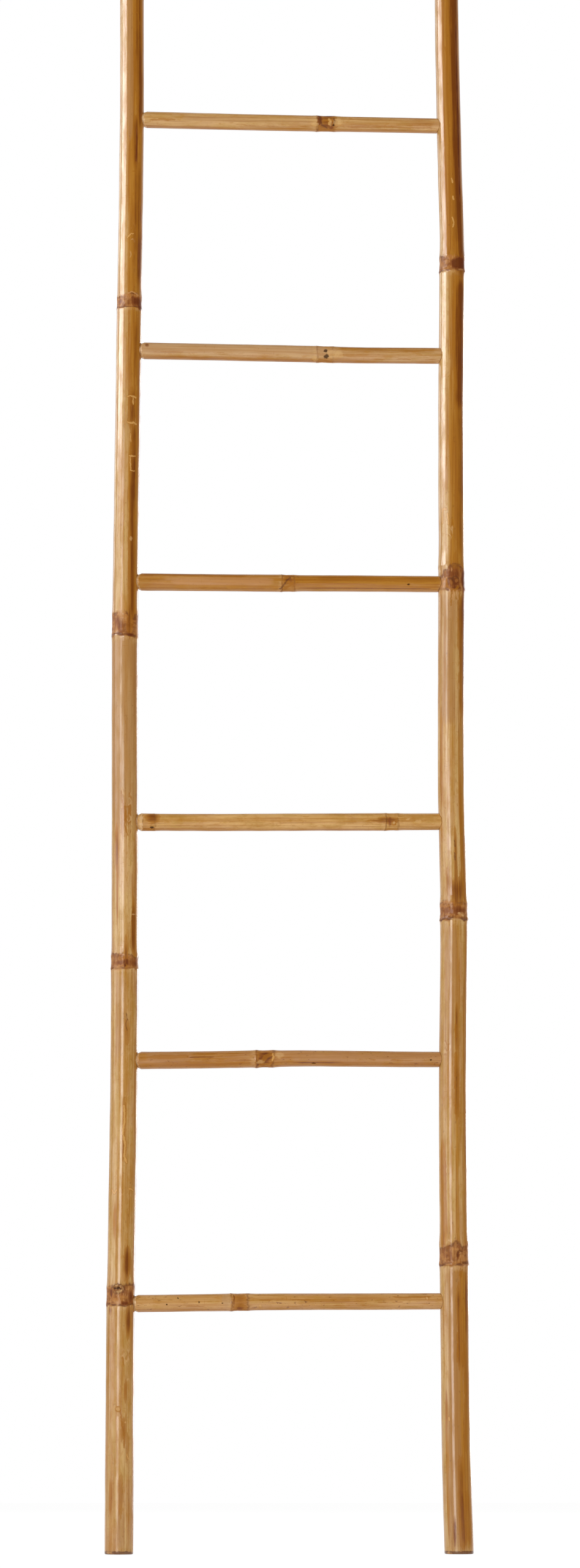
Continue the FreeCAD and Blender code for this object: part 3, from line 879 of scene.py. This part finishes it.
def skinPlaces(piece, cane, faces=False):
    # of each point or face: place along the cane, angle round it, distance from its middle, full radius
    parts = piece.data.polygons if faces else piece.data.vertices
    points = np.zeros(len(parts) * 3, np.float32)
    parts.foreach_get("center" if faces else "co", points)
    points = points.reshape(-1, 3)
    along = points[:, 2] if cane["upright"] else points[:, 0]
    grid = np.linspace(along.min(), along.max(), 800)
    middles = np.array([centreOf(cane, float(g)) for g in grid])
    x, y, z = (np.interp(along, grid, middles[:, n]) for n in range(3))
    side = points[:, 0] - x if cane["upright"] else points[:, 2] - z
    back = points[:, 1] - y
    full = np.interp(along, grid, [radiusOf(cane, float(g)) for g in grid])
    return along, np.arctan2(side, -back), np.hypot(side, back), full


def window(value, low, high, soft):
    rise = np.clip((value - low + soft) / (2 * soft), 0, 1)
    fall = np.clip((high + soft - value) / (2 * soft), 0, 1)
    return rise * rise * (3 - 2 * rise) * fall * fall * (3 - 2 * fall)


def turnAway(angle, centre):  # the smaller angle between two directions, in degrees
    return np.abs((np.degrees(angle) - centre + 180) % 360 - 180)


def patchField(cane, kind, along, angle):
    # painted patches: above 0 inside each, 1 in its middle, -1 well away from it
    field = np.full(len(along), -1.0, np.float32)
    longest = weather["patchEnd" if cane["upright"] else "rungPatchEnd"]
    for low, high, centre, halfWidth, strength in cane.get(kind, ()):
        low, high = metres(low, high)
        ends = min(longest, 0.5 * (high - low))
        over = np.maximum(np.maximum(low + ends - along, along - high + ends), 0) / ends
        across = turnAway(angle, centre) / halfWidth
        field = np.maximum(field, strength - across ** 2 - over ** 2)
    return np.clip(field, -1, 2.0)


def writeField(piece, name, values, kind="FLOAT"):
    attribute = piece.data.attributes.new(name, kind, "POINT")
    key = "vector" if kind == "FLOAT_VECTOR" else "value"
    attribute.data.foreach_set(key, np.asarray(values, np.float32).ravel())


def paintCane(piece, cane, rim, whittled):
    # what the finish follows: the fibres, the nodes, the stained patches and the worked ends
    along, angle, reach, full = skinPlaces(piece, cane)
    fibre = np.stack([np.sin(angle) * reach, -np.cos(angle) * reach, along], axis=1)
    writeField(piece, "fibre", fibre, "FLOAT_VECTOR")
    nearest = np.full(len(along), 4.0)
    tops = nearest
    for number, (scar, long, _) in enumerate(cane["nodes"]):
        share = (along - scar) / long
        closer = np.abs(share - 0.5) < np.abs(nearest - 0.5)
        nearest = np.where(closer, share, nearest)
        edge = cane.get("tops", {}).get(number, ((0, 1.0),))
        tops = np.where(closer, share - np.interp(np.degrees(angle), *zip(*edge)) + 1, tops)
    writeField(piece, "nodeShare", np.clip(nearest, -3.0, 4.0))
    writeField(piece, "nodeTop", np.clip(tops, -3.0, 4.0))
    writeField(piece, "nodeNear", window(nearest, -1.2, 2.2, 0.4))
    for kind in ("flames", "burns", "tanAndEdgeShade", "ashes", "trails", "rubsAndHighlights"):
        writeField(piece, kind, patchField(cane, kind, along, angle))
    writeField(piece, "rim", rim(along))
    writeField(piece, "whittled", whittled(along, full - reach))
    return along, angle, reach / full, nearest


def weigh(piece, name, weights):  # a painted weight, as with a brush
    group = piece.vertex_groups.new(name=name)
    levels = np.round(np.clip(weights, 0, 1), 2)
    for level in np.unique(levels[levels > 0]):
        group.add(np.nonzero(levels == level)[0].tolist(), float(level), "REPLACE")
    return group


def relief(piece, name, height, weights, size=None, direction="NORMAL"):
    # raises the skin by a painted weight, or by a cloudy pattern where the weight allows it
    push = piece.modifiers.new(name, "DISPLACE")
    push.direction = direction
    push.strength = height
    push.vertex_group = weigh(piece, name, weights).name
    if size is None:
        push.mid_level = 0
    else:
        pattern = bpy.data.textures.new(name, "CLOUDS")
        pattern.noise_scale = size
        pattern.noise_depth = 1
        push.texture = pattern
        push.texture_coords = "LOCAL"
    applyModifier(piece, push)
    piece.vertex_groups.clear()


def weatherCane(piece, cane, along, angle, skin, nearest):
    # skin is 1 on the open skin and 0 inside the cane and at its worked ends
    name = cane["name"]
    small = 1.0 if cane["upright"] else weather["rungShare"]
    relief(piece, name + "Lumps", weather["lumps"] * small, skin, weather["lumpSize"])
    relief(piece, name + "Ripples", weather["ripples"], skin, weather["rippleSize"])
    relief(piece, name + "Wander", weather["wander"] * small, skin * window(nearest, -0.5, 1.6, 0.5),
           weather["wanderSize"] * small, "Z" if cane["upright"] else "X")
    relief(piece, name + "Grit", weather["grit"] * small, skin * window(nearest, 0.0, 1.1, 0.12),
           weather["gritSize"])
    for number, (place, centre, halfWidth, halfLong, kind) in enumerate(cane["spots"]):
        place, halfWidth, halfLong = metres(place, halfWidth, halfLong)
        across = turnAway(angle, centre) * math.pi / 180 * cane["startRadius"]
        away = np.hypot(across / halfWidth, (along - place) / halfLong)
        relief(piece, name + kind + str(number), weather["spots"][kind] * small,
               skin * np.exp(-(away / 1.25) ** 2))
        if kind == "eye":
            relief(piece, name + "Hole" + str(number), weather["eyeHole"] * small,
                   skin * np.exp(-(away / 0.5) ** 2))


def finishPiece(piece, cane, node, isCut):
    for material in (caneMaterial(cane), sawnWood):
        piece.data.materials.append(material)
    along, _, reach, full = skinPlaces(piece, cane, faces=True)
    slots = np.where(isCut(along, full - reach), 1, 0).astype(np.int32)
    piece.data.polygons.foreach_set("material_index", slots)
    makeActive(piece)
    bpy.ops.object.shade_smooth_by_angle(angle=weather["smoothAngle"])
    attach(piece, "root")
    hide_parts(node)


def poleEnd(cane, high):  # from the partition inside, along the hollow, to the sawn rim and the skin
    top = cane["end"][2] if high else 0.0
    sign = -1 if high else 1
    ease, dip, neck = poleBuild["sawnEdge"], poleBuild["partitionDip"], top + sign * poleBuild["neck"]
    outer = radiusOf(cane, top + sign * ease)
    inner = outer - poleBuild["wall"]
    scar, long, _ = cane["nodes"][-1 if high else 0]
    floor = scar + long * poleBuild["partitionShare"]
    rings = [(floor + sign * dip * 1.4, inner * 0.2, 0), (floor + sign * dip, inner * 0.6, 0),
             (floor, inner * 0.96, 0), (floor - sign * poleBuild["partitionCorner"], inner, 0),
             ((floor + top) / 2, inner, 0), (top + sign * poleBuild["mouth"], inner, 0),
             (top + sign * ease * 0.4, inner, 0), (top, inner + ease * 0.25, 0.8),
             (top, (inner + outer) / 2, 0), (top, outer - ease * 0.8, 0.6),
             (top + sign * ease * 0.35, outer - ease * 0.22, 0), (top + sign * ease, outer, 0),
             (neck, radiusOf(cane, neck), 0)]
    return rings[::-1] if high else rings


def buildPole(cane):
    top, mouth, bare = cane["end"][2], poleBuild["mouth"], poleBuild["openSkin"]
    piece = growCane(cane, poleEnd(cane, False) + stationsOf(cane, mouth, top - mouth) + poleEnd(cane, True))
    smoothCane(piece)
    along, angle, reach, nearest = paintCane(
        piece, cane,
        lambda place: np.clip(1.4 - np.minimum(place, top - place) / poleBuild["rimStain"], 0, 1),
        lambda place, depth: np.zeros(len(place)))
    skin = window(along, bare, top - bare, 0.002) * np.where(reach > poleBuild["skinShare"], 1.0, 0.0)
    weatherCane(piece, cane, along, angle, skin, nearest)
    finishPiece(piece, cane, cane["node"], lambda place, depth: depth > poleBuild["cutDepth"])
    return piece


sawnWood = cutMaterial()
poles = [buildPole(leftPole), buildPole(rightPole)]
print("poles grown:", [len(pole.data.polygons) for pole in poles])


def hugPole(piece, place, pole, gap, share):
    # the ring at this place is laid against the pole's round side, this far off it
    points = np.array([vertex.co.x for vertex in piece.data.vertices])
    press = piece.modifiers.new("hug", "SHRINKWRAP")
    press.target = pole
    press.wrap_method = "PROJECT"
    press.use_project_x = True
    press.use_negative_direction = press.use_positive_direction = True
    press.offset = gap
    press.vertex_group = weigh(piece, "hug", np.where(np.abs(points - place) < 1e-6, share, 0)).name
    applyModifier(piece, press)
    piece.vertex_groups.clear()


def buildRung(number, data):
    left, right = data["heights"]
    cane = {**data, "name": "rungCane" + str(number), "upright": False, "around": rungs["around"],
            "step": rungs["step"], "start": tuple(centreOf(leftPole, left)),
            "end": tuple(centreOf(rightPole, right)), "startRadius": data["radii"][0],
            "endRadius": data["radii"][1], "look": {"ash": rungs["ash"], **data["look"]}}
    leftSkin = cane["start"][0] + radiusOf(leftPole, left)
    rightSkin = cane["end"][0] - radiusOf(rightPole, right)
    whittle, ease, gap = rungs["whittle"], rungs["seatEase"], rungs["seatGap"]
    tenon, depth, neck = rungs["tenonRadius"], rungs["tenonDepth"], rungs["tenonNeck"]
    shoulder, hug = rungs["shoulder"], rungs["hug"]
    seat, lip, behindLip = rungs["seatRings"]
    # away from the pole, radius if it isn't the cane's own, crease, gap to the pole, hold of the pole
    leftEnd = ((-depth, tenon * 0.5, 0, None, 0), (-depth, tenon, 0.6, None, 0), (-neck, tenon, 0, None, 0),
               (shoulder, rungs["whittleRadius"], 0, 0, 1), (shoulder + whittle, None, 0.85, whittle, 1),
               (shoulder + whittle * 1.5, None, 0, whittle * 1.5, 1), (hug + 0.001, None, 0, hug, 0.5))
    rightEnd = ((hug + 0.002, None, 0, hug + 0.001, 0.5), (behindLip, None, 0, behindLip, 1),
                (lip, None, 0.8, ease + gap, 1), (seat, cane["endRadius"] - ease, 0, gap, 1),
                (-neck, tenon, 0, None, 0), (-depth, tenon, 0.6, None, 0), (-depth, tenon * 0.5, 0, None, 0))
    ends = ([(leftSkin + away, *rest, poles[0]) for away, *rest in leftEnd],
            [(rightSkin - away, *rest, poles[1]) for away, *rest in rightEnd])
    rings = [[(place, radius or radiusOf(cane, place), crease) for place, radius, crease, *_ in end]
             for end in ends]
    middle = stationsOf(cane, leftSkin + rungs["plain"], rightSkin - rungs["plain"])
    piece = growCane(cane, rings[0] + middle + rings[1])
    for place, _, _, offset, hold, pole in ends[0] + ends[1]:
        if hold:
            hugPole(piece, place, pole, offset, hold)
    smoothCane(piece)
    whittledTo = leftSkin + rungs["whittleReach"]
    along, angle, _, nearest = paintCane(
        piece, cane, lambda place: np.zeros(len(place)),
        lambda place, depth: np.where(place < whittledTo, np.clip((depth - 0.0001) / 0.0004, 0, 1), 0))
    skin = window(along, leftSkin + rungs["openLeft"], rightSkin - rungs["openRight"], 0.003)
    weatherCane(piece, cane, along, angle, skin, nearest)
    finishPiece(piece, cane, "rung_" + str(number), lambda place, depth: (
        (place < leftSkin) | (place > rightSkin)) & (depth > rungs["cutDepth"]))
    return piece


canes = [buildRung(number + 1, data) for number, data in enumerate(rungList)]
print("rungs grown:", [len(cane.data.polygons) for cane in canes])

nailSteel = steelMaterial()
for name in ("left_rail_nails", "right_rail_nails"):
    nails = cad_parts[name]
    nails.data.materials.clear()
    nails.data.materials.append(nailSteel)
print("nails finished")


# the studio

studio = {
    "floorSize": 14.0,
    "world": 0.60,
    "whiteShare": 0.80,
    "whiteStrength": 1.09,
    "roomFrom": 0.1,  # the white paper stands behind, the room in front is dim
    "roomTo": 0.8,
    "roomBehind": 0.75,
    "roomInFront": 0.04,
}


def stageMaterial(name):  # reads as white paper, and still takes a soft shadow
    material, _ = startMaterial(name)
    material.node_tree.nodes.clear()
    paper = add("BsdfDiffuse", {"Color": tone(246, 246, 245)})
    white = add("Emission", {"Color": (1, 1, 1, 1), "Strength": studio["whiteStrength"]})
    path = add("LightPath").outputs
    seen = sums("MAXIMUM", path["Is Camera Ray"], sums(
        "MAXIMUM", path["Is Glossy Ray"], path["Is Transmission Ray"]))
    both = add("MixShader", {0: times(seen, studio["whiteShare"]), 1: paper.outputs[0], 2: white.outputs[0]})
    link(both.outputs[0], add("OutputMaterial").inputs[0])
    return material


def buildStage():
    selectNothing()
    bpy.ops.mesh.primitive_plane_add(size=studio["floorSize"], location=(0, 0, 0))
    floor = bpy.context.object
    floor.name = "floor"
    floor.data.materials.append(stageMaterial("floorPaper"))
    world = bpy.data.worlds.new("studio")
    bpy.context.scene.world = world
    world.use_nodes = True
    board["tree"] = world.node_tree
    world.node_tree.nodes.clear()
    path = add("LightPath").outputs
    seen = sums("MAXIMUM", path["Is Camera Ray"], path["Is Transmission Ray"])
    depth = add("SeparateXYZ", {0: add("TexCoord").outputs["Generated"]}).outputs[1]
    behind = between(depth, studio["roomFrom"], studio["roomTo"])
    glossy = timesPlus(behind, studio["roomBehind"], studio["roomInFront"])
    level = add("Mix", {0: path["Is Glossy Ray"], 2: studio["world"], 3: glossy}).outputs[0]
    level = add("Mix", {0: seen, 2: level, 3: 1.0}).outputs[0]
    glow = add("Background", {"Color": (1, 1, 1, 1), "Strength": level})
    link(glow.outputs[0], add("OutputWorld").inputs[0])


lamps = (
    # name, place, aim, width, height, power, what it lights: the wood itself or its varnish
    ("key", (-2.5, -3.7, 2.2), (0, 0, 1.0), 1.8, 2.2, 64, "wood"),
    ("fill", (2.6, -3.6, 1.2), (0, 0, 1.0), 1.8, 2.2, 12, "wood"),
    ("backLeft", (-2.4, 3.2, 2.0), (0, 0, 1.0), 1.8, 2.0, 40, "wood"),
    ("backRight", (2.6, 3.0, 1.6), (0, 0, 1.0), 1.8, 2.0, 40, "wood"),
    ("strip", (-0.94, -2.32, 0.62), (0, 0, 0.62), 0.80, 1.45, 26, "varnish"),
    ("softStrip", (-1.65, -1.9, 1.45), (0, 0, 1.15), 0.75, 0.9, 12, "varnish"),
    ("tallWindow", (-2.8, -0.5, 2.62), (0, 0, 1.7), 2.6, 1.3, 122, "varnish"),
    ("rimWindow", (-2.2, 1.8, 2.3), (0, 0, 1.6), 1.2, 1.2, 9, "varnish"),
    ("veil", (-3.4, -0.9, 1.2), (0, 0, 1.1), 3.2, 2.2, 54, "varnish"),
    ("backStrip", (1.5, 2.4, 1.2), (0, 0, 0.9), 0.5, 2.2, 30, "varnish"),
)


def placeLamps():
    for name, place, aim, width, height, power, lights in lamps:
        data = bpy.data.lights.new(name, "AREA")
        data.shape = "RECTANGLE"
        data.size, data.size_y = width, height
        data.energy = power
        lamp = bpy.data.objects.new(name, data)
        bpy.context.scene.collection.objects.link(lamp)
        lamp.location = place
        lamp.rotation_euler = (Vector(aim) - Vector(place)).to_track_quat("-Z", "Y").to_euler()
        lamp.visible_camera = False
        lamp.visible_glossy = lights == "varnish"
        lamp.visible_diffuse = lights == "wood"


buildStage()
placeLamps()
bpy.context.scene.view_settings.view_transform = "Standard"
print("studio lit")
